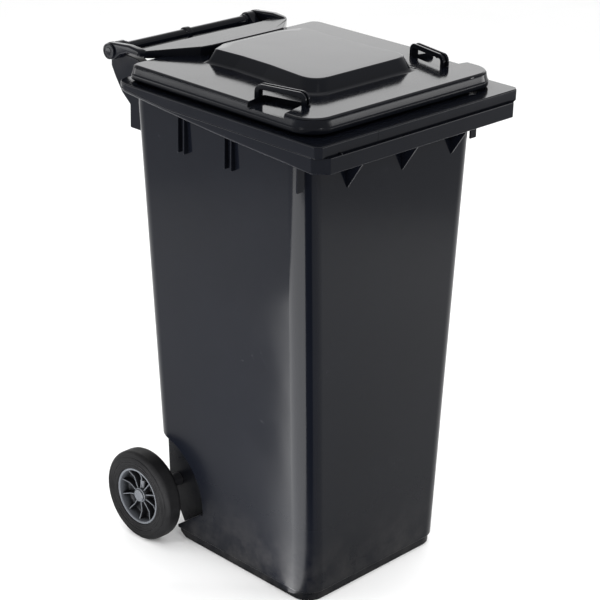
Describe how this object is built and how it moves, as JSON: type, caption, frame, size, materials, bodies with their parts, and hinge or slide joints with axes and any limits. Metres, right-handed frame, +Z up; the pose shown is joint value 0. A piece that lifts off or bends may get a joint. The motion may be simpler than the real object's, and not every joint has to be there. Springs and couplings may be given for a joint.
{
  "type": "wheelie bin",
  "caption": "Tapered two-wheeled refuse bin with a comb ledge, hinged lid with loop handles, grip bar and rubber-tyred wheels on a steel axle.",
  "frame": {"origin": "on the ground below the middle of the bin's overall box", "axes": "+Z up, +Y to the back where the grip bar, hinge and wheels are, -Y to the front comb ledge, X along the axle"},
  "size_m": [0.566, 0.69, 1.077],
  "materials": {
    "anthracite_hdpe": "semi-gloss moulded anthracite polyethylene with a fine grain",
    "hub_polypropylene": "satin grey moulded plastic",
    "tyre_rubber": "matte black solid rubber",
    "galvanised_steel": "galvanised",
    "black_plastic": "satin black moulded plastic"
  },
  "bodies": {
    "bin": {"tub": "anthracite_hdpe", "axle": "galvanised_steel", "axle_sleeve_left": "black_plastic", "axle_sleeve_right": "black_plastic", "thrust_washer_left": "galvanised_steel", "thrust_washer_right": "galvanised_steel", "transponder": "black_plastic", "nest_plug": "anthracite_hdpe"},
    "lid": {"lid": "anthracite_hdpe", "hinge_pin_left": "anthracite_hdpe", "hinge_pin_right": "anthracite_hdpe"},
    "wheel_left": {"wheel_hub_left": "hub_polypropylene", "tyre_left": "tyre_rubber", "hub_cap_left": "hub_polypropylene", "latch_spring_left": "galvanised_steel"},
    "wheel_right": {"wheel_hub_right": "hub_polypropylene", "tyre_right": "tyre_rubber", "hub_cap_right": "hub_polypropylene", "latch_spring_right": "galvanised_steel"},
    "plunger_left": {"latch_plunger_left": "black_plastic"},
    "plunger_right": {"latch_plunger_right": "black_plastic"}
  },
  "joints": [
    {"name": "lid_hinge", "type": "hinge", "parent": "bin", "child": "lid", "pos_m": [0, 0.327, 1.04], "axis": [-1, 0, 0], "range_deg": [0, 255]},
    {"name": "wheel_left_spin", "type": "hinge", "parent": "bin", "child": "wheel_left", "pos_m": [-0.25, 0.187, 0.1], "axis": [1, 0, 0], "continuous": true},
    {"name": "wheel_right_spin", "type": "hinge", "parent": "bin", "child": "wheel_right", "pos_m": [0.25, 0.187, 0.1], "axis": [1, 0, 0], "continuous": true},
    {"name": "latch_left_slide", "type": "slide", "parent": "wheel_left", "child": "plunger_left", "axis": [0, 0, 1], "range_m": [0, 0.003], "stiffness_N_per_m": 300, "springref_m": -0.002, "deforming": ["latch_spring_left"]},
    {"name": "latch_right_slide", "type": "slide", "parent": "wheel_right", "child": "plunger_right", "axis": [0, 0, 1], "range_m": [0, 0.003], "stiffness_N_per_m": 300, "springref_m": -0.002, "deforming": ["latch_spring_right"]}
  ]
}
